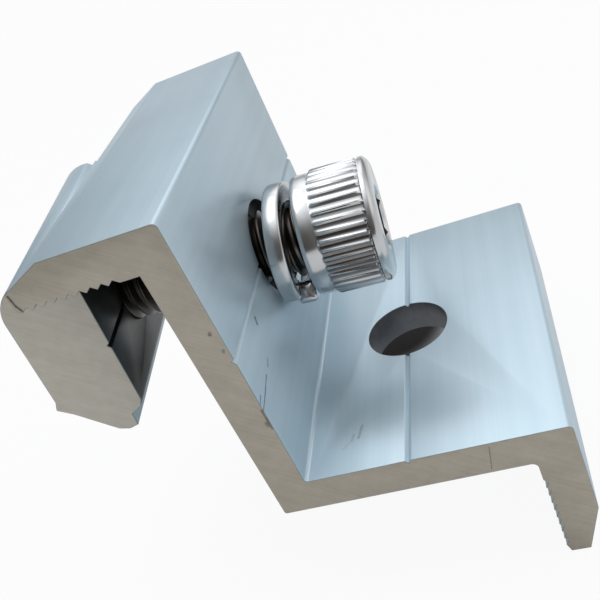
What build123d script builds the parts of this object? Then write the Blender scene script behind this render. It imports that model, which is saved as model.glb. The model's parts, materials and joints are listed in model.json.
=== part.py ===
from build123d import *
import os
from math import cos, radians, sin, tan

# Solar end clamp, millimetres. An extruded aluminium bracket has an upright web, a flange with the bolt
# hole at its foot, a toothed leg under the flange's far edge and a serrated hook plate at the web's top.
# A loose extruded jaw hangs on a socket screw that passes through the web.
# Origin: centre of the flange's bolt hole, on the flange's underside. X runs from the web to the leg,
# Y along the extrusion and Z up.

# Bracket extrusion
LENGTH = 40.0
WEB_THICKNESS = 3.6
FLANGE_THICKNESS = 3.6
FLANGE_REACH = 25.0
WEB_HEIGHT = 30.0
OUTER_CORNER_RADIUS = 0.5
FLANGE_FILLET = 0.4
FOOT_CORNER_RADIUS = 0.25
GUIDE_GROOVE_WIDTH = 0.6
GUIDE_GROOVE_DEPTH = 0.35
WEB_GROOVE_HEIGHT = 15.56

# Hook plate on top of the web
PLATE_THICKNESS = 4.0
PLATE_PLAIN_BAND = 1.87
PLATE_TEETH = 9
PLATE_TIP_BAND = 0.55
PLATE_TIP_RADIUS = 0.5
PLATE_NOSE_SLOPE = 4.33
PLATE_NOSE_DROP = 1.9
TOOTH_PITCH = 1.07
TOOTH_DEPTH = 0.42

# Toothed leg
LEG_THICKNESS = 3.9
LEG_PLAIN_BAND = 2.3
LEG_TEETH = 9
LEG_TOOTH_PITCH = 1.04
LEG_TOOTH_DEPTH = 0.35
LEG_TOOTH_RISE = 0.38
LEG_TOE_LENGTH = 0.94
LEG_TOE_STEP = 0.3
LEG_TOE_WIDTH = 1.84
LEG_TAPER_HEIGHT = 5.36
LEG_FILLET = 0.6

# Holes
BOLT_HOLE_DIAMETER = 9.0
BOLT_HOLE_FROM_WEB = 10.2
WEB_HOLE_DIAMETER = 10.0
WEB_HOLE_HEIGHT = 15.0

# How the loose screw sits in the web's hole
SCREW_YAW = 4.8
SCREW_DIP = 5.2
SCREW_ROLL = 1.8
SCREW_SAG = 0.1

# Socket head screw
SCREW_DIAMETER = 8.0
SCREW_LENGTH = 25.0
SCREW_TIP_CHAMFER = 1.0
HEAD_DIAMETER = 13.2
HEAD_LENGTH = 8.2
HEAD_BAND = 1.8
HEAD_BAND_DIAMETER = 12.7
HEAD_BAND_CHAMFER = 0.28
HEAD_RIM = 1.1
HEAD_RIM_CHAMFER = 0.6
KNURL_RIDGES = 42
KNURL_DEPTH = 0.28
SOCKET_WIDTH = 6.0
SOCKET_DEPTH = 4.0
SOCKET_DRILL_ANGLE = 120.0

# Split spring washer
WASHER_DIAMETER = 12.9
WASHER_WIDTH = 2.1
WASHER_THICKNESS = 1.8
WASHER_RISE = 1.25
WASHER_SPLIT_ANGLE = 9.0
WASHER_LEAN = 3.0
WASHER_WEB_GAP = 0.75
WASHER_DROP = 0.25
HEAD_GAP = 0.2

# Jaw
JAW_LENGTH = 25.0
JAW_FRONT_LENGTH = 11.0
JAW_TEETH = 4
JAW_TOP_BAND = 0.32
JAW_BACK_RADIUS = 4.2
JAW_ABOVE_HOLE = 9.26
JAW_BELOW_HOLE = 7.44
JAW_STANDOFF = 16.1
JAW_NOSE_DROP = 3.5
JAW_NOSE_INSET = 1.7
JAW_NOSE_WIDTH = 2.2
JAW_NOSE_ROUND = 0.3
JAW_UNDERCUT_DROP = 1.6
JAW_UNDERCUT_STEP = 1.35
JAW_BARB = 0.4
JAW_BARB_HEIGHT = 1.05
JAW_BARB_SLOPE = 1.2
THREAD_CLEARANCE = 0.05

# Places that follow from the sizes above
web_right = -BOLT_HOLE_FROM_WEB
web_left = web_right - WEB_THICKNESS
flange_top = FLANGE_THICKNESS
plate_top = flange_top + WEB_HEIGHT
plate_under = plate_top - PLATE_THICKNESS
teeth_start = web_left - PLATE_PLAIN_BAND
teeth_end = teeth_start - PLATE_TEETH * TOOTH_PITCH
plate_end = teeth_end - PLATE_TIP_BAND
leg_outer = web_right + FLANGE_REACH
leg_inner = leg_outer - LEG_THICKNESS
leg_bottom = -(LEG_PLAIN_BAND + LEG_TEETH * LEG_TOOTH_PITCH + LEG_TOE_LENGTH)
jaw_thickness = JAW_TEETH * TOOTH_PITCH + JAW_TOP_BAND + JAW_BACK_RADIUS
web_hole_z = flange_top + WEB_HOLE_HEIGHT
web_groove_z = flange_top + WEB_GROOVE_HEIGHT
head_base = WASHER_WEB_GAP + WASHER_THICKNESS + WASHER_RISE + HEAD_GAP


def tooth_row(start, step, depth, pitch, count, rise=0.5):
    """Points of a row of V teeth: each pitch goes down by depth at its rise share and comes back up."""
    sx, sz = start
    dx, dz = step
    nx, nz = depth
    points = []
    for i in range(count):
        a = (i + rise) * pitch
        b = (i + 1) * pitch
        points.append((sx + a * dx + nx, sz + a * dz + nz))
        points.append((sx + b * dx, sz + b * dz))
    return points


def groove(at, along, inward):
    """Three points of a V guide groove centred at a point of an outline."""
    half = GUIDE_GROOVE_WIDTH / 2
    x, z = at
    return [
        (x - along[0] * half, z - along[1] * half),
        (x + inward[0] * GUIDE_GROOVE_DEPTH, z + inward[1] * GUIDE_GROOVE_DEPTH),
        (x + along[0] * half, z + along[1] * half),
    ]


def make_bracket():
    """The extruded bracket: web, flange, toothed leg and serrated hook plate, with both holes."""
    leg_start = -LEG_PLAIN_BAND
    toe_left = leg_inner + LEG_TOE_STEP
    taper_top = leg_bottom + LEG_TAPER_HEIGHT
    nose_top = plate_top - PLATE_NOSE_DROP
    outline = [
        (web_left, 0),
        (leg_inner, 0),
        (leg_inner, leg_start),
        *tooth_row(
            (leg_inner, leg_start), (0, -1), (LEG_TOOTH_DEPTH, 0), LEG_TOOTH_PITCH, LEG_TEETH, LEG_TOOTH_RISE
        ),
        (toe_left, leg_bottom),
        (toe_left + LEG_TOE_WIDTH, leg_bottom),
        (leg_outer, taper_top),
        (leg_outer, flange_top),
        *reversed(groove((0, flange_top), (1, 0), (0, -1))),
        (web_right, flange_top),
        *groove((web_right, web_groove_z), (0, 1), (-1, 0)),
        (web_right, plate_top),
        (plate_end + PLATE_NOSE_SLOPE, plate_top),
        (plate_end, nose_top),
        (plate_end, plate_under),
        *reversed(tooth_row((teeth_start, plate_under), (-1, 0), (0, TOOTH_DEPTH), TOOTH_PITCH, PLATE_TEETH)),
        (teeth_start, plate_under),
        (web_left, plate_under),
    ]
    with BuildPart() as bracket:
        with BuildSketch(Plane.XZ):
            with BuildLine():
                Polyline(*outline, close=True)
            make_face()
        extrude(amount=LENGTH / 2, both=True)
        corners = [
            (leg_outer, flange_top, OUTER_CORNER_RADIUS),
            (web_right, plate_top, OUTER_CORNER_RADIUS),
            (web_right, flange_top, FLANGE_FILLET),
            (web_left, 0, FOOT_CORNER_RADIUS),
            (leg_inner, 0, LEG_FILLET),
            (plate_end, plate_under, PLATE_TIP_RADIUS),
            (plate_end, nose_top, PLATE_TIP_RADIUS),
            (leg_outer, taper_top, OUTER_CORNER_RADIUS),
        ]
        for x, z, radius in corners:
            lengthwise = bracket.edges().filter_by(Axis.Y)
            fillet(lengthwise.sort_by_distance((x, 0, z))[0], radius)
        with Locations((0, 0, flange_top / 2)):
            Cylinder(BOLT_HOLE_DIAMETER / 2, 2 * FLANGE_THICKNESS, mode=Mode.SUBTRACT)
        with Locations((web_right - WEB_THICKNESS / 2, 0, web_hole_z)):
            Cylinder(WEB_HOLE_DIAMETER / 2, 2 * WEB_THICKNESS, rotation=(0, 90, 0), mode=Mode.SUBTRACT)
    return bracket.part


# The screw's own frame: X along its axis towards the head, from where the axis leaves the web's outer
# face, Y along the extrusion and Z up.
web_mid = Pos(web_right - WEB_THICKNESS / 2, 0, web_hole_z - SCREW_SAG)
screw_turn = Rot(0, 0, SCREW_YAW) * Rot(0, SCREW_DIP, 0) * Rot(SCREW_ROLL, 0, 0)
to_face = WEB_THICKNESS / 2 / (cos(radians(SCREW_YAW)) * cos(radians(SCREW_DIP)))
screw_frame = web_mid * screw_turn * Pos(to_face, 0, 0)


def make_screw():
    """Socket head screw: plain shank, plain band, knurled band, chamfered rim and hexagon socket."""
    shank = SCREW_DIAMETER / 2
    head = HEAD_DIAMETER / 2
    tip = head_base - SCREW_LENGTH
    band_end = head_base + HEAD_BAND
    knurl_end = head_base + HEAD_LENGTH - HEAD_RIM
    face = head_base + HEAD_LENGTH
    root = head - KNURL_DEPTH
    band = HEAD_BAND_DIAMETER / 2
    with BuildPart() as screw:
        with BuildSketch(Plane.XZ):
            with BuildLine():
                Polyline(
                    (tip, 0),
                    (tip, shank - SCREW_TIP_CHAMFER),
                    (tip + SCREW_TIP_CHAMFER, shank),
                    (head_base, shank),
                    (head_base, band - HEAD_BAND_CHAMFER),
                    (head_base + HEAD_BAND_CHAMFER, band),
                    (band_end, band),
                    (band_end, root),
                    (knurl_end, root),
                    (knurl_end, head),
                    (face - HEAD_RIM_CHAMFER, head),
                    (face, head - HEAD_RIM_CHAMFER),
                    (face, 0),
                    close=True,
                )
            make_face()
        revolve(axis=Axis.X)
        step = 360 / KNURL_RIDGES
        ridge_points = []
        for i in range(KNURL_RIDGES):
            for turn, reach in ((i * step, head), ((i + 0.5) * step, root)):
                ridge_points.append((reach * cos(radians(turn)), reach * sin(radians(turn))))
        with BuildSketch(Plane.YZ.offset(band_end)):
            with BuildLine():
                Polyline(*ridge_points, close=True)
            make_face()
        extrude(amount=knurl_end - band_end)
        with BuildSketch(Plane.YZ.offset(face)):
            RegularPolygon(SOCKET_WIDTH / 2, 6, major_radius=False)
        extrude(amount=-SOCKET_DEPTH, mode=Mode.SUBTRACT)
        drill = SOCKET_WIDTH / 2 / tan(radians(SOCKET_DRILL_ANGLE / 2))
        with BuildSketch(Plane.XZ):
            with BuildLine():
                floor = face - SOCKET_DEPTH
                Polyline((floor, 0), (floor, SOCKET_WIDTH / 2), (floor - drill, 0), close=True)
            make_face()
        revolve(axis=Axis.X, mode=Mode.SUBTRACT)
    return screw.part


def make_washer():
    """Left-hand split spring washer at its free height, its split below the screw."""
    middle = (WASHER_DIAMETER - WASHER_WIDTH) / 2
    turn = 360 - WASHER_SPLIT_ANGLE
    pitch = WASHER_RISE * 360 / turn
    with BuildPart() as washer:
        with BuildLine() as path:
            Helix(pitch=pitch, height=WASHER_RISE, radius=middle, lefthand=True)
        start = Plane(origin=(middle, 0, 0), x_dir=(1, 0, 0), z_dir=(0, -1, 0))
        with BuildSketch(start):
            Rectangle(WASHER_WIDTH, WASHER_THICKNESS)
        sweep(path=path.line, is_frenet=True)
    wound = Rot(0, 0, 180 - WASHER_SPLIT_ANGLE / 2) * washer.part
    onto_axis = Pos(WASHER_WEB_GAP + WASHER_THICKNESS / 2, 0, -WASHER_DROP) * Rot(0, 0, -WASHER_LEAN) * Rot(0, 90, 0)
    return onto_axis * Rot(0, 0, 180) * wound


def make_jaw():
    """The loose jaw: toothed top, rounded back, grooved right face and a hooked nose below."""
    top = JAW_ABOVE_HOLE
    foot = -JAW_BELOW_HOLE
    nose = foot - JAW_NOSE_DROP
    nose_left = -JAW_NOSE_INSET - JAW_NOSE_WIDTH
    back = -jaw_thickness
    round_start = (back + JAW_BACK_RADIUS, top)
    round_end = (back, top - JAW_BACK_RADIUS)
    middle = JAW_LENGTH / 2 - JAW_FRONT_LENGTH
    with BuildPart() as jaw:
        with BuildSketch(Plane.XZ):
            with BuildLine():
                Polyline(
                    round_end,
                    (back, foot + 2 * JAW_BARB_HEIGHT),
                    (back - JAW_BARB, foot + JAW_BARB_HEIGHT),
                    (back + JAW_BARB_SLOPE, foot),
                    (nose_left, nose + JAW_NOSE_ROUND),
                    (nose_left + JAW_NOSE_WIDTH / 2, nose),
                    (-JAW_NOSE_INSET, nose + JAW_NOSE_ROUND),
                    (-JAW_NOSE_INSET, foot - JAW_UNDERCUT_DROP),
                    (-JAW_NOSE_INSET + JAW_UNDERCUT_STEP, foot - JAW_UNDERCUT_DROP / 2),
                    (0, foot),
                    *groove((0, 0), (0, 1), (-1, 0)),
                    (0, top),
                    *tooth_row((0, top), (-1, 0), (0, -TOOTH_DEPTH), TOOTH_PITCH, JAW_TEETH),
                    round_start,
                )
                RadiusArc(round_start, round_end, -JAW_BACK_RADIUS)
            make_face()
        extrude(amount=JAW_LENGTH / 2, both=True)
        with Locations((back / 2, -middle, 0)):
            Cylinder(
                SCREW_DIAMETER / 2 + THREAD_CLEARANCE, 2 * jaw_thickness, rotation=(0, 90, 0), mode=Mode.SUBTRACT
            )
    return Pos(-JAW_STANDOFF, middle, 0) * jaw.part


pieces = {
    "bracket": make_bracket(),
    "cap_screw": screw_frame * make_screw(),
    "spring_washer": screw_frame * make_washer(),
    "clamp_jaw": screw_frame * make_jaw(),
}
os.makedirs("parts", exist_ok=True)
for name, piece in pieces.items():
    piece.label = name
    export_step(piece, f"parts/{name}.step")
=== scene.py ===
"""A solar end clamp of extruded aluminium with its loose jaw, socket screw and split spring washer.

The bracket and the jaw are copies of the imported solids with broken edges. The screw and the washer are
modelled here, in place of theirs. Lengths in the classes are in millimetres and angles in degrees.
"""

from __future__ import annotations

import json
import logging
import math
from dataclasses import dataclass
from enum import Enum
from typing import Any, Callable, Sequence, Union

import bpy
from mathutils import Matrix, Vector


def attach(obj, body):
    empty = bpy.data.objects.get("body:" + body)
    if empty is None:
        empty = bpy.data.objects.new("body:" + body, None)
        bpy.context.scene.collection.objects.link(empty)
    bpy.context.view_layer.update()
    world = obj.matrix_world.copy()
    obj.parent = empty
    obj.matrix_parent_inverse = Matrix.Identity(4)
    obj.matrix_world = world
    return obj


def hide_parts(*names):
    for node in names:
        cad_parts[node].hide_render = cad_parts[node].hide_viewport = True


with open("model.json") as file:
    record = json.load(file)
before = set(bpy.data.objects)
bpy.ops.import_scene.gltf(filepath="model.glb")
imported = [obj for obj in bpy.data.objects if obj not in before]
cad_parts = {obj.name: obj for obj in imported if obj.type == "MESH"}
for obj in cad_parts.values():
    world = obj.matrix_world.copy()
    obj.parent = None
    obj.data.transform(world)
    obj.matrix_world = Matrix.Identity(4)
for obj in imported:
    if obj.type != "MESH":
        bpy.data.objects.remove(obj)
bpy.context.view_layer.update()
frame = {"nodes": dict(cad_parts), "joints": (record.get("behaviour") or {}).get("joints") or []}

MM = 0.001
MERGE_WITHIN = 0.001 * MM
Colour = tuple[float, float, float]
Triple = tuple[float, float, float]
ACROSS: Triple = (1.0, 0.0, 0.0)
LENGTHWISE: Triple = (0.0, 1.0, 0.0)
UPWARD: Triple = (0.0, 0.0, 1.0)
WHITE: Colour = (1.0, 1.0, 1.0)
log = logging.getLogger("clamp")


class Face(Enum):
    """Which kind of surface a face of an extrusion is, by its place in the object's material list."""

    SKIN = 0
    SAWN = 1
    EDGE = 2
    BORE = 3


# Shader maths


class Wire:
    """A socket of a material's nodes, on which Python's operators add Math nodes."""

    def __init__(self, board: "Board", socket: bpy.types.NodeSocket) -> None:
        """Keeps the node board and one of its output sockets."""
        self.board = board
        self.socket = socket

    def math(self, operation: str, *others: "Value", clamp: bool = False) -> "Wire":
        """Adds a Math node on this value.

        Args:
            operation: the Math node's operation.
            others: the node's further values.
            clamp: whether the result is held between 0 and 1.

        Returns:
            The node's result.
        """
        settings = {"operation": operation, "use_clamp": clamp}
        return self.board.add("ShaderNodeMath", settings, dict(enumerate((self, *others))))

    def __add__(self, other: "Value") -> "Wire":
        """Sum."""
        return self.math("ADD", other)

    __radd__ = __add__

    def __mul__(self, other: "Value") -> "Wire":
        """Product."""
        return self.math("MULTIPLY", other)

    def __sub__(self, other: "Value") -> "Wire":
        """Difference."""
        return self.math("SUBTRACT", other)

    def __rsub__(self, other: float) -> "Wire":
        """Difference from a number."""
        return self.math("MULTIPLY_ADD", -1.0, other)

    def __truediv__(self, other: "Value") -> "Wire":
        """Quotient."""
        return self.math("DIVIDE", other)

    def __pow__(self, other: "Value") -> "Wire":
        """Power."""
        return self.math("POWER", other)

    def clamped(self) -> "Wire":
        """The value held between 0 and 1."""
        return self.math("ADD", 0.0, clamp=True)


Value = Union[Wire, float]


class Board:
    """The node board of one material or of the world."""

    def __init__(self, tree: bpy.types.NodeTree) -> None:
        """Clears the tree, so that only what is added here is in it."""
        self.tree = tree
        tree.nodes.clear()

    def add(self, kind: str, settings: dict[str, Any], inputs: dict[Any, Any], out: Any = 0) -> Wire:
        """Adds a node.

        Args:
            kind: the node's type.
            settings: its properties, set first.
            inputs: values or wires by socket name or index.
            out: the output that the wire carries.

        Returns:
            The chosen output.
        """
        node = self.tree.nodes.new(kind)
        for key, setting in settings.items():
            setattr(node, key, setting)
        for key, value in inputs.items():
            socket = node.inputs[key]
            if isinstance(value, Wire):
                self.tree.links.new(value.socket, socket)
            elif isinstance(value, tuple) and len(value) == 3 and socket.type == "RGBA":
                socket.default_value = (*value, 1.0)
            else:
                socket.default_value = value
        return Wire(self, node.outputs[out] if node.outputs else node.inputs[0])

    def place(self) -> Wire:
        """The point on the object, in millimetres."""
        point = self.add("ShaderNodeTexCoord", {}, {}, "Object")
        return self.add("ShaderNodeVectorMath", {"operation": "SCALE"}, {0: point, "Scale": 1 / MM})

    def along(self, point: Wire, direction: Sequence[float], start: float = 0.0) -> Wire:
        """How far a point lies along a direction, less a start."""
        settings = {"operation": "DOT_PRODUCT"}
        return self.add("ShaderNodeVectorMath", settings, {0: point, 1: tuple(direction)}, "Value") - start

    def vector(self, x: Value, y: Value, z: Value) -> Wire:
        """A vector from three values."""
        return self.add("ShaderNodeCombineXYZ", {}, {0: x, 1: y, 2: z})

    def noise(self, at: Wire, scale: float = 1.0, detail: float = 2.0, rough: float = 0.5) -> Wire:
        """Fractal noise between 0 and 1 at a point."""
        inputs = {"Vector": at, "Scale": scale, "Detail": detail, "Roughness": rough}
        return self.add("ShaderNodeTexNoise", {"noise_dimensions": "3D"}, inputs, 0)

    def step(self, value: Value, low: float, high: float) -> Wire:
        """A smooth step from 0 at low to 1 at high."""
        settings = {"interpolation_type": "SMOOTHSTEP"}
        return self.add("ShaderNodeMapRange", settings, {0: value, 1: low, 2: high, 3: 0.0, 4: 1.0})

    def mix(self, share: Value, first: Union[Wire, Colour], second: Union[Wire, Colour]) -> Wire:
        """Blends two colours by a share."""
        settings = {"data_type": "RGBA"}
        return self.add("ShaderNodeMix", settings, {0: share, 6: first, 7: second}, 2)

    def bump(self, height: Wire, strength: float, distance: float) -> Wire:
        """A bumped normal.

        Args:
            height: the height field, 0 to 1.
            strength: how much of it counts.
            distance: the height of a full step, in millimetres.

        Returns:
            The normal.
        """
        inputs = {"Strength": strength, "Distance": distance * MM, "Height": height}
        return self.add("ShaderNodeBump", {}, inputs)

    def stroke(self, point: Wire, start: Sequence[float], end: Sequence[float], width: float) -> Wire:
        """A soft line from one point to another.

        Args:
            point: the place on the object, in millimetres.
            start: where the line starts.
            end: where it ends.
            width: its width in millimetres.

        Returns:
            1 on the line and 0 away from it.
        """
        run = Vector(end) - Vector(start)
        vector = "ShaderNodeVectorMath"
        offset = self.add(vector, {"operation": "SUBTRACT"}, {0: point, 1: tuple(start)})
        share = (self.along(offset, run) * (1 / run.length_squared)).clamped()
        nearest = self.add(vector, {"operation": "SCALE"}, {0: tuple(run), "Scale": share})
        away = self.add(vector, {"operation": "DISTANCE"}, {0: offset, 1: nearest}, "Value")
        return 1 - self.step(away, width * 0.2, width * 0.6)

    def seen(self, mirrored: Value) -> Wire:
        """1 for what the camera sees, and a share of it for what metal and glass show of the backdrop."""
        camera_ray, glossy_ray, clear_ray = (
            self.add("ShaderNodeLightPath", {}, {}, ray)
            for ray in ("Is Camera Ray", "Is Glossy Ray", "Is Transmission Ray")
        )
        return (camera_ray + (glossy_ray + clear_ray) * mirrored).clamped()

    def surface(self, **sockets: Any) -> None:
        """Ends the board in a Principled shader with the given sockets, underscores for spaces."""
        inputs = {name.replace("_", " "): value for name, value in sockets.items()}
        shader = self.add("ShaderNodeBsdfPrincipled", {}, inputs)
        self.add("ShaderNodeOutputMaterial", {}, {"Surface": shader})


def material(name: str, paint: Callable[[Board], None]) -> bpy.types.Material:
    """Makes a node material.

    Args:
        name: the material's name.
        paint: what fills its board.

    Returns:
        The material.
    """
    made = bpy.data.materials.new(name)
    made.use_nodes = True
    paint(Board(made.node_tree))
    return made


def rotation(angle: float, axis: str) -> Matrix:
    """A turn by an angle in degrees round one of the main axes."""
    return Matrix.Rotation(math.radians(angle), 4, axis)


@dataclass(frozen=True)
class Lean:
    """How the loose screw and the jaw on it lie in the web's hole."""

    yaw: float = 4.8
    dip: float = 5.2
    roll: float = 1.8

    def matrix(self) -> Matrix:
        """The screw's frame: X along its axis to the head, from the web's face, Y along the extrusion."""
        joint = next(j for j in frame["joints"] if j["name"] == "screw_turn")
        turn = rotation(self.yaw, "Z") @ rotation(self.dip, "Y") @ rotation(self.roll, "X")
        return Matrix.Translation(joint["pos_m"]) @ turn

    def axis(self, row: int) -> Triple:
        """One axis of the frame as a plain direction."""
        return tuple(self.matrix().to_3x3().col[row])

    def start(self, row: int) -> float:
        """How far along one axis the frame's origin lies, in millimetres."""
        return (self.matrix().translation / MM).dot(Vector(self.axis(row)))


LEAN = Lean()
JAW_STANDOFF = 16.1
BOLT_HOLE_RADIUS = 4.5
WEB_HOLE_RADIUS = 5.0
WEB_HOLE_CENTRE: Triple = (-12.0, 0.0, 18.6)
JAW_BORE_RADIUS = 4.05


# Finishes


@dataclass(frozen=True)
class Mark:
    """A scratch, stain, burr, painted shadow or painted glint on a surface: a ragged line between two
    points, in millimetres.
    """

    start: Triple
    end: Triple
    width: float
    depth: float = 0.8
    colour: Colour = (0.045, 0.055, 0.06)


RUST: Colour = (0.13, 0.1, 0.08)
# A burr on a tooth of the plate, painted near white: a real burr with a painted glint.
BURR_GLINT: Colour = (0.9, 0.9, 0.88)
# Painted shadow: the dark line that the plate's tip throws on the jaw behind it.
GAP_SHADOW: Colour = (0.05, 0.045, 0.04)
WEB_MARKS = (
    Mark((-10.2, -12.05, 17.85), (-10.2, -12.25, 17.35), 0.5),
    Mark((-10.2, -14.0, 14.3), (-10.2, -14.7, 14.0), 0.28, 0.6),
    Mark((-10.2, -15.9, 13.95), (-10.2, -17.55, 13.6), 0.26),
    Mark((-10.2, -17.55, 13.6), (-10.2, -20.0, 13.2), 0.22, 0.9),
    Mark((-10.2, -19.0, 14.2), (-10.2, -20.0, 13.9), 0.25, 0.7),
)
FLANGE_MARKS = (
    Mark((-4.7, -14.0, 3.6), (-5.0, -15.6, 3.6), 0.36, 0.6, (0.20, 0.25, 0.26)),
    Mark((-5.5, -15.0, 3.6), (-5.7, -15.8, 3.6), 0.3, 0.45, (0.22, 0.27, 0.28)),
    Mark((-5.8, -15.9, 3.6), (-6.5, -16.7, 3.6), 0.3, 0.3, (0.26, 0.31, 0.31)),
)
CUT_MARKS = (
    Mark((-10.93, -20.0, 22.6), (-11.0, -20.0, 22.45), 0.4, 0.7, RUST),
    Mark((-10.6, -20.0, 20.6), (-10.7, -20.0, 20.4), 0.35, 0.6, RUST),
    Mark((-10.35, -20.0, 13.3), (-10.3, -20.0, 11.0), 0.3, 0.8, RUST),
    Mark((-10.5, -20.0, 11.7), (-10.5, -20.0, 11.5), 0.6, 0.6, RUST),
    Mark((7.4, -20.0, 3.2), (6.9, -20.0, 0.4), 0.12, 0.65, (0.12, 0.115, 0.1)),
    # Painted glint on a real burr at a tooth of the plate.
    Mark((-21.5, -20.0, 29.9), (-21.45, -20.0, 29.6), 0.3, 1.0, BURR_GLINT),
    # Painted shadow along the plate's tip, where it stands in front of the jaw.
    Mark((-25.6, -20.0, 31.5), (-25.5, -20.0, 30.4), 0.26, 0.9, GAP_SHADOW),
    Mark((-25.5, -20.0, 30.4), (-25.15, -20.0, 29.6), 0.28, 0.9, GAP_SHADOW),
    Mark((-25.1, -20.0, 29.6), (-24.6, -20.0, 29.95), 0.18, 0.7, GAP_SHADOW),
)


def paint_marks(board: Board, point: Wire, colour: Wire, marks: Sequence[Mark]) -> Wire:
    """Lays marks over a colour.

    Args:
        board: the material's board.
        point: the place on the object, in millimetres.
        colour: the colour under them.
        marks: the marks.

    Returns:
        The marked colour.
    """
    if not marks:
        return colour
    ragged = board.noise(point, 2.2, 3.0, 0.7)
    for mark in marks:
        line = board.stroke(point, mark.start, mark.end, mark.width)
        share = (line * (ragged * 1.6 + 0.1)).clamped() * mark.depth
        colour = board.mix(share, colour, mark.colour)
    return colour


@dataclass(frozen=True)
class ExtrudedSkin:
    """Satin aluminium: die lines along the extrusion, faint clouds, marks and painted shade inside the
    slot.
    """

    name: str
    marks: tuple[Mark, ...] = ()
    across: Triple = ACROSS
    lengthwise: Triple = LENGTHWISE
    upward: Triple = UPWARD
    light: Colour = (0.56, 0.68, 0.75)
    dark: Colour = (0.44, 0.56, 0.64)
    metal: float = 0.48
    rough: float = 0.36
    line_density: float = 4.0
    line_drawn: float = 0.012
    band_density: float = 0.55
    band_drawn: float = 0.01
    cloud_density: float = 0.11
    grain_density: float = 9.0
    # Painted shade inside the slot: its strength, its near-black colour, where it lies and how it fades.
    slot_shade: float = 0.83
    slot_shade_colour: Colour = (0.036, 0.036, 0.031)
    slot_shade_across: tuple[float, float] = (-24.8, -13.75)
    slot_shade_upward: tuple[float, float] = (8.0, 30.4)
    slot_shade_fade: float = 9.0

    def __call__(self, board: Board) -> None:
        """Fills the board."""
        point = board.place()
        u = board.along(point, self.across)
        v = board.along(point, self.lengthwise)
        w = board.along(point, self.upward)
        fine, broad = self.line_density, self.band_density
        lines = board.noise(board.vector(u * fine, v * self.line_drawn, w * fine), 1.0, 3.0, 0.6)
        bands = board.noise(board.vector(u * broad, v * self.band_drawn, w * broad), 1.0, 2.0, 0.5)
        clouds = board.noise(point, self.cloud_density, 3.0, 0.55)
        tone = (lines - 0.5) * 0.45 + (bands - 0.5) * 0.9 + (clouds - 0.5) * 0.8 + 0.5
        colour = board.mix(tone.clamped(), self.dark, self.light)
        colour = paint_marks(board, point, colour, self.marks)
        inside = self._slot_shade_mask(board, u, w)
        # Painted shade: the faces inside the slot are blended towards a near-black colour.
        colour = board.mix(inside * (clouds * 0.3 + self.slot_shade), colour, self.slot_shade_colour)
        grain = board.noise(point, self.grain_density, 2.0, 0.6)
        rough = self.rough + (clouds - 0.5) * 0.14 + (lines - 0.5) * 0.1
        normal = board.bump(lines * 0.8 + grain * 0.2, 0.35, 0.02)
        board.surface(Base_Color=colour, Metallic=self.metal, Roughness=rough, Normal=normal)

    def _slot_shade_mask(self, board: Board, u: Wire, w: Wire) -> Wire:
        """Where the painted shade darkens the inside of the clamping slot, from 0 to 1."""
        left, right = self.slot_shade_across
        low, high = self.slot_shade_upward
        beside = board.step(u, left - 0.3, left) * (1 - board.step(u, right, right + 0.05))
        return beside * board.step(w, low, low + self.slot_shade_fade) * (1 - board.step(w, high, high + 0.3))


@dataclass(frozen=True)
class SawnEnd:
    """The beige-grey face that a saw leaves, with fine slanting marks, mottles and brown specks."""

    name: str
    marks: tuple[Mark, ...] = ()
    across: Triple = ACROSS
    upward: Triple = UPWARD
    light: Colour = (0.63, 0.57, 0.475)
    dark: Colour = (0.43, 0.385, 0.315)
    speck: Colour = (0.16, 0.11, 0.07)
    slant: float = 52.0
    metal: float = 0.4
    rough: float = 0.5
    fine_density: float = 3.6
    fine_drawn: float = 0.16
    broad_density: float = 0.8
    broad_drawn: float = 0.1
    cloud_density: float = 0.3
    mottle_density: float = 0.8
    speck_density: float = 1.3
    speck_edge: tuple[float, float] = (0.70, 0.78)
    speck_depth: float = 0.55

    def __call__(self, board: Board) -> None:
        """Fills the board."""
        point = board.place()
        u = board.along(point, self.across)
        w = board.along(point, self.upward)
        turn = math.radians(self.slant)
        mark = u * math.cos(turn) + w * math.sin(turn)
        run = w * math.cos(turn) - u * math.sin(turn)
        fine_at = board.vector(mark * self.fine_density, run * self.fine_drawn, 0.0)
        fine = board.noise(fine_at, 1.0, 4.0, 0.65)
        broad_at = board.vector(mark * self.broad_density, run * self.broad_drawn, 3.0)
        broad = board.noise(broad_at, 1.0, 2.0, 0.5)
        clouds = board.noise(point, self.cloud_density, 3.0, 0.6)
        mottle = board.noise(point, self.mottle_density, 3.0, 0.6)
        tone = (fine - 0.5) * 0.8 + (broad - 0.5) * 0.5 + (clouds - 0.5) * 0.8 + (mottle - 0.5) * 0.5 + 0.5
        colour = board.mix(tone.clamped(), self.dark, self.light)
        specks = board.step(board.noise(point, self.speck_density, 3.0, 0.7), *self.speck_edge)
        colour = board.mix(specks * self.speck_depth, colour, self.speck)
        colour = paint_marks(board, point, colour, self.marks)
        rough = self.rough + (clouds - 0.5) * 0.2
        normal = board.bump(fine, 0.5, 0.05)
        board.surface(Base_Color=colour, Metallic=self.metal, Roughness=rough, Normal=normal)


@dataclass(frozen=True)
class BareMetal:
    """Dull bare aluminium with worn patches, where a saw broke an edge or a drill left a wall; a drilled
    wall is darkened with painted shade.
    """

    name: str
    colour: Colour
    metal: float
    rough: float
    rough_spread: float
    patches: float

    def __call__(self, board: Board) -> None:
        """Fills the board."""
        wear = board.noise(board.place(), self.patches, 3.0, 0.6)
        colour = board.mix(wear, tuple(c * 0.6 for c in self.colour), self.colour)
        rough = self.rough + wear * self.rough_spread
        board.surface(Base_Color=colour, Metallic=self.metal, Roughness=rough)


BROKEN_EDGE = BareMetal("broken edge", (0.36, 0.40, 0.41), 0.5, 0.4, 0.15, 1.6)
# Painted shade: the walls of the holes are made much darker than the skin.
SHADED_DRILLED_WALL = BareMetal("drilled wall", (0.235, 0.24, 0.26), 0.7, 0.35, 0.2, 1.4)


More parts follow.
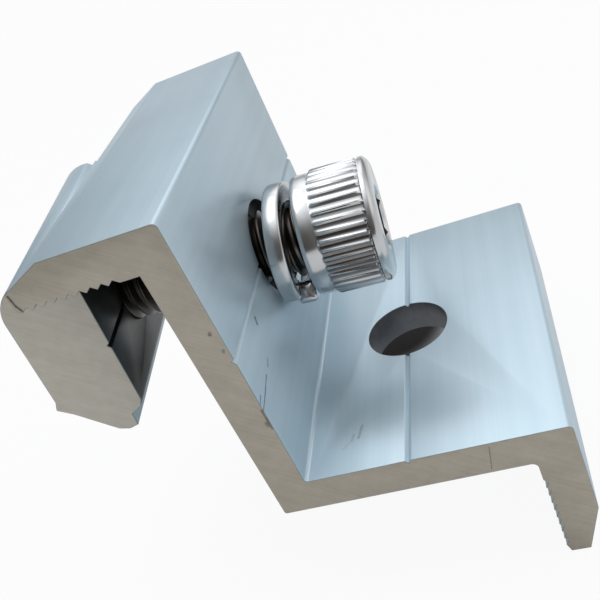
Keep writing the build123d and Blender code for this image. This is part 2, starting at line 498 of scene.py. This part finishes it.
@dataclass(frozen=True)
class PolishedSteel:
    """Stainless steel with turned rings and faint smears, and painted shade with a painted dark reflection
    in the valleys between ridges on its side.
    """

    name: str
    light: Colour = (0.70, 0.72, 0.735)
    dark: Colour = (0.47, 0.46, 0.46)
    rough: float = 0.16
    ring_density: float = 7.0
    smear_density: float = 0.5
    # The head's painted shade and painted dark reflection: colour, radius under which it lies, and its band
    # along and across the head.
    valley_shade: Colour = (0.13, 0.115, 0.11)
    valley_shade_radius: float = 0.0
    valley_shade_from: float = 5.9
    valley_shade_to: float = 11.05
    valley_shade_foot: tuple[float, float] = (-5.4, -2.2)
    valley_shade_top: tuple[float, float] = (2.4, 5.0)

    def __call__(self, board: Board) -> None:
        """Fills the board."""
        point = board.place()
        t = board.along(point, LEAN.axis(0))
        rings = board.noise(board.vector(t * self.ring_density, 0.0, 0.0), 1.0, 2.0, 0.6)
        smears = board.noise(point, self.smear_density, 4.0, 0.6)
        colour = board.mix(smears, self.dark, self.light)
        # Painted shade and a painted dark reflection: valleys across the head's side are blended towards
        # brown-black.
        if self.valley_shade_radius:
            share = self._valley_shade_mask(board, point) * (smears * 0.5 + 0.55).clamped()
            colour = board.mix(share, colour, self.valley_shade)
        rough = self.rough + (smears - 0.5) * 0.14 + (rings - 0.5) * 0.06
        normal = board.bump(rings, 0.15, 0.02)
        board.surface(Base_Color=colour, Metallic=1.0, Roughness=rough, Normal=normal)

    def _valley_shade_mask(self, board: Board, point: Wire) -> Wire:
        """Where the valleys between the ridges are darkened across the middle of the head's side, from 0 to
        1: painted shade and a painted dark reflection.
        """
        along, aside, over = (board.along(point, LEAN.axis(row), LEAN.start(row)) for row in range(3))
        radius = (aside * aside + over * over) ** 0.5
        inside = 1 - board.step(radius, self.valley_shade_radius, self.valley_shade_radius + 0.16)
        past = board.step(along, self.valley_shade_from, self.valley_shade_from + 0.2)
        before = 1 - board.step(along, self.valley_shade_to - 0.1, self.valley_shade_to)
        sides = board.step(over, *self.valley_shade_foot) * (1 - board.step(over, *self.valley_shade_top))
        return inside * past * before * sides


# Modelling by hand


def select_only(piece: bpy.types.Object) -> None:
    """Selects one object alone and makes it active."""
    bpy.ops.object.select_all(action="DESELECT")
    piece.select_set(True)
    bpy.context.view_layer.objects.active = piece


def add_shape(name: str, operator: Callable[..., Any], **settings: Any) -> bpy.types.Object:
    """Adds a primitive and lays its place into its mesh.

    Args:
        name: the object's name.
        operator: what adds it.
        settings: the operator's settings.

    Returns:
        The object, at the origin.
    """
    bpy.ops.object.select_all(action="DESELECT")
    operator(**settings)
    shape = bpy.context.object
    shape.name = name
    shape.data.transform(shape.matrix_world)
    shape.matrix_world = Matrix.Identity(4)
    return shape


def start_edit(piece: bpy.types.Object, mode: str = "VERT") -> None:
    """Opens one object in edit mode with nothing selected."""
    select_only(piece)
    bpy.ops.object.mode_set(mode="EDIT")
    bpy.ops.mesh.select_mode(type=mode)
    bpy.ops.mesh.select_all(action="DESELECT")


def end_edit() -> None:
    """Goes back to object mode."""
    bpy.ops.object.mode_set(mode="OBJECT")


def pick(piece: bpy.types.Object, test: Callable[[Vector], bool]) -> None:
    """Selects the vertices whose place passes a test, from edit mode."""
    bpy.ops.object.mode_set(mode="OBJECT")
    for vertex in piece.data.vertices:
        vertex.select = test(vertex.co)
    bpy.ops.object.mode_set(mode="EDIT")


def apply_modifier(piece: bpy.types.Object, kind: str, **settings: Any) -> None:
    """Adds a modifier to an object and applies it.

    Args:
        piece: the object.
        kind: the modifier's type.
        settings: its properties.
    """
    select_only(piece)
    modifier = piece.modifiers.new(kind.lower(), kind)
    for key, value in settings.items():
        setattr(modifier, key, value)
    bpy.ops.object.modifier_apply(modifier=modifier.name)


def close_shape(piece: bpy.types.Object) -> None:
    """Merges doubles and turns every face outwards."""
    start_edit(piece)
    bpy.ops.mesh.select_all(action="SELECT")
    bpy.ops.mesh.remove_doubles(threshold=MERGE_WITHIN)
    bpy.ops.mesh.normals_make_consistent(inside=False)
    end_edit()


def seat(piece: bpy.types.Object, matrix: Matrix, angle: float) -> None:
    """Puts a finished mesh in place and shades it.

    Args:
        piece: the object.
        matrix: where its mesh goes.
        angle: edges sharper than this stay sharp.
    """
    piece.data.transform(piece.matrix_world)
    piece.matrix_world = Matrix.Identity(4)
    piece.data.transform(matrix)
    select_only(piece)
    bpy.ops.object.shade_smooth_by_angle(angle=math.radians(angle))


def paint_piece(piece: bpy.types.Object, *finishes: Any) -> None:
    """Gives a piece new materials, one for each finish."""
    piece.data.materials.clear()
    for finish in finishes:
        piece.data.materials.append(material(finish.name, finish))


@dataclass(frozen=True)
class Bore:
    """A round hole, by a point on its axis, the axis and the radius."""

    centre: Triple
    axis: Triple
    radius: float
    leeway: float = 0.2

    def holds(self, point: Vector) -> bool:
        """Whether a point in millimetres lies on the hole's wall."""
        offset = point - Vector(self.centre)
        axis = Vector(self.axis)
        return abs((offset - axis * offset.dot(axis)).length - self.radius) < self.leeway


@dataclass
class Extrusion:
    """An extruded aluminium piece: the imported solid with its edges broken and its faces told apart."""

    node: str
    body: str
    skin: ExtrudedSkin
    sawn: SawnEnd
    bores: tuple[Bore, ...]
    end: Triple = LENGTHWISE
    edge_break: float = 0.07
    flat_limit: float = 1.0
    sharp_from: float = 25.0
    smooth_below: float = 32.0
    end_facing: float = 0.97
    end_inset: float = 0.02
    edge_facing: float = 0.1

    def build(self) -> bpy.types.Object:
        """Makes the piece.

        Returns:
            The piece, riding on its body in place of the node.
        """
        source = frame["nodes"][self.node]
        piece = source.copy()
        piece.data = source.data.copy()
        piece.parent = None
        for key in list(piece.keys()):
            del piece[key]
        piece.name = f"{self.node}_extrusion"
        bpy.context.scene.collection.objects.link(piece)
        paint_piece(piece, self.skin, self.sawn, BROKEN_EDGE, SHADED_DRILLED_WALL)
        start_edit(piece, "EDGE")
        bpy.ops.mesh.select_all(action="SELECT")
        bpy.ops.mesh.remove_doubles(threshold=MERGE_WITHIN)
        bpy.ops.mesh.dissolve_limited(angle_limit=math.radians(self.flat_limit))
        bpy.ops.mesh.select_all(action="DESELECT")
        bpy.ops.mesh.edges_select_sharp(sharpness=math.radians(self.sharp_from))
        bpy.ops.mesh.bevel(
            offset=self.edge_break * MM, segments=2, profile=0.5, clamp_overlap=True,
            material=Face.EDGE.value,
        )
        end_edit()
        self._mark_faces(piece)
        seat(piece, Matrix.Identity(4), self.smooth_below)
        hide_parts(self.node)
        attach(piece, self.body)
        return piece

    def _mark_faces(self, piece: bpy.types.Object) -> None:
        """Gives each face its finish: sawn on both end planes, bare metal darkened with painted shade in
        the holes, broken by the cuts.
        """
        end = Vector(self.end)
        reach = [vertex.co.dot(end) for vertex in piece.data.vertices]
        first, last = min(reach), max(reach)
        for face in piece.data.polygons:
            place = face.center.dot(end)
            facing = abs(face.normal.dot(end))
            inset = min(place - first, last - place) / MM
            if facing > self.end_facing and inset < self.end_inset:
                kind = Face.SAWN
            elif any(bore.holds(face.center / MM) for bore in self.bores):
                kind = Face.BORE
            elif facing > self.edge_facing and inset < 2 * self.edge_break:
                kind = Face.EDGE
            else:
                kind = Face.SKIN
            face.material_index = kind.value


@dataclass
class SocketScrew:
    """The M8 socket head screw: knurled head with a hexagon socket, and a threaded shank."""

    base: float = 4.0
    length: float = 25.0
    head_radius: float = 6.6
    head_length: float = 8.2
    band: float = 1.8
    band_radius: float = 6.35
    rim: float = 1.1
    ridges: int = 42
    knurl_depth: float = 0.28
    socket_width: float = 6.0
    socket_depth: float = 4.0
    socket_chamfer: float = 0.3
    drill_depth: float = 1.6
    thread_radius: float = 3.97
    thread_root: float = 3.32
    thread_flanks: tuple[float, float, float] = (0.3, 0.69, 0.86)
    thread_in_head: float = 0.4
    tip_chamfer: float = 1.1
    pitch: float = 1.25
    turn_steps: int = 40
    smooth_below: float = 42.0
    ridge_shape: tuple[float, ...] = (0.0, 0.4, 0.88, 1.0, 1.0, 1.0, 0.88, 0.4)
    # The head's valleys get painted shade and a painted dark reflection.
    steel: PolishedSteel = PolishedSteel("screw steel", valley_shade_radius=6.36)
    # The thread's steel is dark brown all over: painted shade of the slot and the hole it runs through.
    shaded: PolishedSteel = PolishedSteel("oiled thread", (0.20, 0.18, 0.165), (0.10, 0.09, 0.08), 0.3)

    def build(self) -> list[bpy.types.Object]:
        """Makes the head and the thread.

        Returns:
            Both pieces, riding on the screw's body.
        """
        pieces = [self._head(), self._thread()]
        for piece, finish in zip(pieces, (self.steel, self.shaded)):
            paint_piece(piece, finish)
            seat(piece, LEAN.matrix() @ rotation(90, "Y"), self.smooth_below)
            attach(piece, "screw")
            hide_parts("cap_screw")
        return pieces

    def _outline(self) -> list[tuple[float, float]]:
        """The head's rings as heights over its base and radii."""
        r, b, top = self.head_radius, self.band_radius, self.head_length
        root = r - self.knurl_depth
        knurl_end = top - self.rim
        foot = [(0.0, b - 0.45), (0.12, b - 0.14), (0.35, b - 0.03), (0.6, b), (self.band - 0.15, b)]
        groove = [(self.band, b - 0.06), (self.band + 0.12, root - 0.02)]
        knurl = [(self.band + 0.4, r), (knurl_end - 0.3, r), (knurl_end - 0.06, root - 0.04)]
        rim = [(knurl_end + 0.04, r - 0.16), (knurl_end + 0.14, r - 0.05), (top - 0.6, r - 0.04)]
        chamfer = [(top - 0.46, r - 0.1), (top - 0.1, r - 0.52), (top, r - 0.78)]
        return foot + groove + knurl + rim + chamfer

    def _head(self) -> bpy.types.Object:
        """Makes the head: rings extruded from a disc, valleys pulled in, and the socket cut out."""
        rings = self._outline()
        head = add_shape(
            "screw_head", bpy.ops.mesh.primitive_circle_add, vertices=self.ridges * len(self.ridge_shape),
            radius=rings[0][1] * MM, fill_type="NGON", location=(0, 0, self.base * MM),
        )
        start_edit(head, "FACE")
        bpy.ops.mesh.select_all(action="SELECT")
        for (low, near), (high, far) in zip(rings, rings[1:]):
            move = {"value": (0, 0, (high - low) * MM)}
            bpy.ops.mesh.extrude_region_move(TRANSFORM_OT_translate=move)
            centre = (0, 0, (self.base + high) * MM)
            bpy.ops.transform.resize(value=(far / near, far / near, 1), center_override=centre)
        end_edit()
        self._pull_valleys(head)
        close_shape(head)
        self._cut_socket(head)
        return head

    def _pull_valleys(self, head: bpy.types.Object) -> None:
        """Pulls the columns between the crests of the knurled band in, into ridges with wide valleys."""
        low, high = self.band + 0.2, self.head_length - self.rim - 0.2
        columns = len(self.ridge_shape)
        step = 2 * math.pi / (self.ridges * columns)

        def column_of(co: Vector) -> int:
            """The column of the knurled band that a vertex lies on, or -1 off the band."""
            if not low < co.z / MM - self.base < high:
                return -1
            return round(math.atan2(co.y, co.x) / step) % columns

        for column in range(1, columns):
            start_edit(head)
            pick(head, lambda co: column_of(co) == column)
            scale = 1 - self.ridge_shape[column] * self.knurl_depth / self.head_radius
            bpy.ops.transform.resize(value=(scale, scale, 1), center_override=(0, 0, 0))
            end_edit()

    def _cut_socket(self, head: bpy.types.Object) -> None:
        """Cuts the hexagon socket, its drilled floor and its chamfer."""
        top = self.base + self.head_length
        across = self.socket_width / math.sqrt(3)
        depth = self.socket_depth + 1
        floor = top - self.socket_depth - self.drill_depth / 2 + 0.01
        cone = bpy.ops.mesh.primitive_cone_add
        tools = (
            add_shape(
                "hexagon", bpy.ops.mesh.primitive_cylinder_add, vertices=6, radius=across * MM,
                depth=depth * MM, location=(0, 0, (top + 1 - depth / 2) * MM),
            ),
            add_shape(
                "drill", cone, vertices=48, radius1=0, radius2=self.socket_width / 2 * MM,
                depth=self.drill_depth * MM, location=(0, 0, floor * MM),
            ),
            add_shape(
                "chamfer", cone, vertices=48, radius1=(across + 0.05 - self.socket_chamfer) * MM,
                radius2=(across + 0.05 + self.socket_chamfer) * MM, depth=2 * self.socket_chamfer * MM,
                location=(0, 0, (top + 0.02) * MM),
            ),
        )
        for tool in tools:
            apply_modifier(head, "BOOLEAN", operation="DIFFERENCE", solver="EXACT", object=tool)
            bpy.data.objects.remove(tool)

    def _thread(self) -> bpy.types.Object:
        """Makes the thread: a V profile screwed round the axis, then trimmed by a chamfered bar."""
        root, crest, pitch = self.thread_root, self.thread_radius, self.pitch
        reach = self.base + self.thread_in_head
        tip = self.base - self.length
        turns = math.ceil(self.length / pitch) + 3
        start = tip - 1.5 * pitch
        rise, top, fall = self.thread_flanks
        corners = [(root, 0.0), (root, rise), (crest, top), (crest, fall), (root, pitch)]
        thread = add_shape("screw_thread", bpy.ops.mesh.primitive_circle_add, vertices=3, radius=MM)
        start_edit(thread)
        bpy.ops.mesh.select_all(action="SELECT")
        bpy.ops.mesh.merge(type="CENTER")
        first = (corners[0][0] * MM, 0, (start + corners[0][1]) * MM)
        bpy.ops.transform.translate(value=first)
        for (r0, z0), (r1, z1) in zip(corners, corners[1:]):
            bpy.ops.mesh.extrude_region_move(
                TRANSFORM_OT_translate={"value": ((r1 - r0) * MM, 0, (z1 - z0) * MM)}
            )
        end_edit()
        apply_modifier(
            thread, "SCREW", axis="Z", angle=2 * math.pi, screw_offset=pitch * MM, iterations=turns,
            steps=self.turn_steps, render_steps=self.turn_steps, use_merge_vertices=True,
            merge_threshold=MERGE_WITHIN,
        )
        start_edit(thread)
        for height, outer in ((tip - 0.05, False), (reach + 0.05, True)):
            bpy.ops.mesh.select_all(action="SELECT")
            bpy.ops.mesh.remove_doubles(threshold=2 * MERGE_WITHIN)
            bpy.ops.mesh.bisect(
                plane_co=(0, 0, height * MM), plane_no=(0, 0, 1), use_fill=True,
                clear_inner=not outer, clear_outer=outer, threshold=1e-7,
            )
        end_edit()
        close_shape(thread)
        bar = add_shape(
            "bar", bpy.ops.mesh.primitive_cylinder_add, vertices=72, radius=(crest + 0.2) * MM,
            depth=(reach - tip) * MM, location=(0, 0, (tip + reach) / 2 * MM),
        )
        start_edit(bar)
        pick(bar, lambda co: co.z < (tip + 0.1) * MM)
        bpy.ops.mesh.bevel(offset=self.tip_chamfer * MM, segments=1)
        end_edit()
        apply_modifier(thread, "BOOLEAN", operation="INTERSECT", solver="EXACT", object=bar)
        bpy.data.objects.remove(bar)
        return thread


@dataclass
class SplitWasher:
    """The left-hand split spring washer between the screw's head and the web."""

    outer: float = 12.9
    width: float = 2.1
    thickness: float = 1.8
    rise: float = 1.25
    split: float = 9.0
    lean: float = 3.0
    web_gap: float = 0.75
    drop: float = 0.25
    corner: float = 0.28
    end_cap: float = 0.8
    cap_rings: tuple[tuple[float, float], ...] = (
        (0.15, 1.06), (0.35, 1.08), (0.55, 1.02), (0.72, 0.9), (0.86, 0.72), (0.95, 0.5), (1.0, 0.25),
    )
    opening_turn: float = 46.0
    steps: int = 110
    smooth_below: float = 40.0
    steel: PolishedSteel = PolishedSteel("washer steel", rough=0.2)

    def build(self) -> bpy.types.Object:
        """Makes the washer.

        Returns:
            The piece, riding on the bracket.
        """
        middle = (self.outer - self.width) / 2
        turn = math.radians(360 - self.split)
        cap = self.end_cap / middle
        wound = 1 - 2 * cap / turn
        piece = add_shape("split_washer", bpy.ops.mesh.primitive_plane_add, size=MM)
        start_edit(piece)
        bpy.ops.mesh.select_all(action="SELECT")
        bpy.ops.transform.resize(value=(self.width, self.thickness, 1))
        bpy.ops.mesh.bevel(offset=self.corner * MM, segments=3, affect="VERTICES")
        bpy.ops.mesh.select_all(action="SELECT")
        bpy.ops.mesh.delete(type="ONLY_FACE")
        end_edit()
        piece.data.transform(Matrix.Translation((middle * MM, 0, 0)) @ rotation(90, "X"))
        apply_modifier(
            piece, "SCREW", axis="Z", angle=-turn * wound, screw_offset=self.rise * wound * MM,
            iterations=1, steps=self.steps, render_steps=self.steps,
        )
        start_edit(piece)
        bpy.ops.mesh.select_all(action="SELECT")
        bpy.ops.mesh.remove_doubles(threshold=MERGE_WITHIN)
        bpy.ops.mesh.select_all(action="DESELECT")
        bpy.ops.mesh.select_mode(type="EDGE")
        bpy.ops.mesh.select_non_manifold()
        bpy.ops.mesh.edge_face_add()
        end_edit()
        self._round_ends(piece)
        close_shape(piece)
        paint_piece(piece, self.steel)
        opening = 180 - self.split / 2 - self.opening_turn - math.degrees(cap)
        raised = Matrix.Translation((0, 0, self.rise * cap / turn * MM))
        along = Matrix.Translation(((self.web_gap + self.thickness / 2) * MM, 0, -self.drop * MM))
        upright = rotation(-self.lean, "Z") @ rotation(90, "Y") @ rotation(180, "Z")
        seat(piece, LEAN.matrix() @ along @ upright @ raised @ rotation(opening, "Z"), self.smooth_below)
        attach(piece, "bracket")
        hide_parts("spring_washer")
        return piece

    def _round_ends(self, piece: bpy.types.Object) -> None:
        """Draws each flat end of the coil out into a rounded one, a little upset."""
        flat = [face for face in piece.data.polygons if len(face.vertices) > 4]
        ends = [(face.center.copy(), face.normal.copy()) for face in flat]
        for centre, normal in ends:
            start_edit(piece, "FACE")
            bpy.ops.object.mode_set(mode="OBJECT")
            for face in piece.data.polygons:
                face.select = len(face.vertices) > 4 and (face.center - centre).length < 0.1 * MM
            bpy.ops.object.mode_set(mode="EDIT")
            cap = normal * self.end_cap * MM
            reach, size = 0.0, 1.0
            for share, scale in self.cap_rings:
                move = {"value": tuple(cap * (share - reach))}
                bpy.ops.mesh.extrude_region_move(TRANSFORM_OT_translate=move)
                grown = (scale / size,) * 3
                bpy.ops.transform.resize(value=grown, center_override=tuple(centre + cap * share))
                reach, size = share, scale
            end_edit()


@dataclass(frozen=True)
class SoftBox:
    """One soft patch of the studio round the clamp: its direction, how tight it is and how bright."""

    toward: Triple
    strength: float
    tightness: float = 6.0
    colour: Colour = WHITE


@dataclass
class Studio:
    """The plain pale floor, the soft lights and the camera at the photograph's angle."""

    eye: Triple = (17.69, -73.70, 56.51)
    right: Triple = (0.9164, 0.1037, -0.3867)
    up: Triple = (0.2616, 0.5763, 0.7743)
    ahead: Triple = (-0.3031, 0.8107, -0.5010)
    lens: float = 49.66
    sensor: float = 36.0
    floor_height: float = -12.65
    floor_size: float = 4000.0
    floor_colour: Colour = (0.8, 0.81, 0.82)
    floor_white: float = 0.93
    floor_mirror: float = 0.34
    shadow_colour: Colour = (0.035, 0.033, 0.032)
    shadow_centre: tuple[float, float] = (-7.0, 24.0)
    shadow_reach: tuple[float, float] = (17.0, 21.0)
    shadow_fade: tuple[float, float] = (0.3, 1.0)
    backdrop_edge: tuple[float, float] = (0.72, 0.9)
    ambient: float = 0.03
    lamp_place: Triple = (-60.0, 60.0, 330.0)
    lamp_target: Triple = (0.0, 0.0, 5.0)
    lamp_size: float = 240.0
    lamp_power: float = 0.16
    boxes: tuple[SoftBox, ...] = (
        SoftBox(UPWARD, 1.65, 6.0, (0.95, 0.98, 1.0)),
        SoftBox((0.1, 0.75, 0.65), 1.45, 10.0, (0.96, 0.98, 1.0)),
        SoftBox((-0.45, 0.7, 0.55), 0.22, 10.0, (0.85, 0.94, 1.0)),
        SoftBox((-0.5, 0.85, 0.15), 0.28, 10.0, (0.85, 0.94, 1.0)),
        SoftBox((0.4, 0.9, 0.15), 0.1, 10.0),
        SoftBox((1.0, 0.1, 0.5), 0.85),
        SoftBox((1.0, 0.4, 0.0), 0.5),
        SoftBox((-1.0, 0.0, 0.35), 0.1),
        SoftBox((0.6, -0.75, 0.3), 0.16, 6.0, (1.0, 0.92, 0.86)),
        SoftBox((-0.6, -0.75, 0.3), 0.08, 6.0, (1.0, 0.92, 0.86)),
        SoftBox((0.0, -0.6, 0.8), 0.04, 6.0, (1.0, 0.92, 0.86)),
    )

    def build(self) -> None:
        """Sets up the camera, the world, the floor and the lamp."""
        self._camera()
        self._world()
        self._floor()
        self._lamp()
        bpy.context.scene.view_settings.view_transform = "Standard"

    def _camera(self) -> None:
        """Adds the camera where the photograph was taken from."""
        data = bpy.data.cameras.new("camera")
        data.lens = self.lens
        data.sensor_width = self.sensor
        data.clip_start = 0.001
        data.clip_end = 20
        camera = bpy.data.objects.new("camera", data)
        bpy.context.scene.collection.objects.link(camera)
        columns = (Vector(self.right), Vector(self.up), -Vector(self.ahead))
        turn = Matrix([list(row) for row in zip(*columns)]).to_4x4()
        camera.matrix_world = Matrix.Translation(Vector(self.eye) * MM) @ turn
        bpy.context.scene.camera = camera

    def _world(self) -> None:
        """Lights the scene with soft boxes on a dim sky; camera and reflections see a white back."""
        world = bpy.data.worlds.new("studio")
        bpy.context.scene.world = world
        world.use_nodes = True
        board = Board(world.node_tree)
        direction = board.add("ShaderNodeTexCoord", {}, {}, "Generated")
        light = board.add("ShaderNodeBackground", {}, {"Color": WHITE, "Strength": self.ambient})
        for box in self.boxes:
            toward = tuple(Vector(box.toward).normalized())
            lobe = board.along(direction, toward).clamped() ** box.tightness
            inputs = {"Color": box.colour, "Strength": lobe * box.strength}
            patch = board.add("ShaderNodeBackground", {}, inputs)
            light = board.add("ShaderNodeAddShader", {}, {0: light, 1: patch})
        white = board.add("ShaderNodeBackground", {}, {"Color": WHITE, "Strength": 1.0})
        backdrop = board.step(board.along(direction, self.ahead), *self.backdrop_edge)
        mixed = board.add("ShaderNodeMixShader", {}, {0: board.seen(backdrop), 1: light, 2: white})
        board.add("ShaderNodeOutputWorld", {}, {"Surface": mixed})

    def _floor(self) -> None:
        """Adds the pale floor under the leg's toe; the camera sees it nearly white."""
        floor = add_shape(
            "floor", bpy.ops.mesh.primitive_plane_add, size=self.floor_size * MM,
            location=(0, 0, self.floor_height * MM),
        )

        def paint(board: Board) -> None:
            """White for the camera over a pale diffuse floor, with a dark ground shadow under the clamp."""
            point = board.place()
            across = board.along(point, ACROSS, self.shadow_centre[0]) / self.shadow_reach[0]
            away = board.along(point, LENGTHWISE, self.shadow_centre[1]) / self.shadow_reach[1]
            shadow = 1 - board.step((across * across + away * away) ** 0.5, *self.shadow_fade)
            colour = board.mix(shadow, self.floor_colour, self.shadow_colour)
            pale = board.add("ShaderNodeBsdfDiffuse", {}, {"Color": colour})
            glow = board.add("ShaderNodeEmission", {}, {"Color": WHITE, "Strength": 1.0})
            share = board.seen(self.floor_mirror) * (1 - shadow) * self.floor_white
            mixed = board.add("ShaderNodeMixShader", {}, {0: share, 1: pale, 2: glow})
            board.add("ShaderNodeOutputMaterial", {}, {"Surface": mixed})

        floor.data.materials.append(material("pale floor", paint))

    def _lamp(self) -> None:
        """Adds the soft square lamp above."""
        data = bpy.data.lights.new("lamp_above", "AREA")
        data.size = self.lamp_size * MM
        data.energy = self.lamp_power
        lamp = bpy.data.objects.new("lamp_above", data)
        bpy.context.scene.collection.objects.link(lamp)
        lamp.location = Vector(self.lamp_place) * MM
        aim = (Vector(self.lamp_target) - Vector(self.lamp_place)).to_track_quat("-Z", "Y")
        lamp.rotation_euler = aim.to_euler()


def main() -> None:
    """Builds the clamp and its studio and reports each piece."""
    logging.basicConfig(level=logging.INFO, format="%(name)s %(message)s")
    Studio().build()
    screw_axis, across_jaw, up_jaw = (LEAN.axis(row) for row in range(3))
    face_at = LEAN.start(0) - JAW_STANDOFF
    bracket = Extrusion(
        "bracket",
        "bracket",
        ExtrudedSkin("bracket skin", WEB_MARKS + FLANGE_MARKS),
        SawnEnd("bracket sawn end", CUT_MARKS),
        (Bore((0.0, 0.0, 0.0), UPWARD, BOLT_HOLE_RADIUS), Bore(WEB_HOLE_CENTRE, ACROSS, WEB_HOLE_RADIUS)),
    )
    jaw = Extrusion(
        "clamp_jaw",
        "jaw",
        ExtrudedSkin(
            "jaw skin", (), screw_axis, across_jaw, up_jaw,
            # The jaw's face towards the web gets the same painted shade as the slot.
            slot_shade_across=(face_at - 0.6, face_at + 1.0), slot_shade_upward=(-60.0, 60.0),
        ),
        SawnEnd("jaw sawn end", (), screw_axis, up_jaw, (0.72, 0.68, 0.60), (0.53, 0.49, 0.42)),
        (Bore(tuple(LEAN.matrix().translation / MM), screw_axis, JAW_BORE_RADIUS),),
        across_jaw,
    )
    pieces = [bracket.build(), jaw.build(), *SocketScrew().build(), SplitWasher().build()]
    for piece in pieces:
        log.info("%s: %d faces", piece.name, len(piece.data.polygons))


if __name__ == "__main__":
    main()
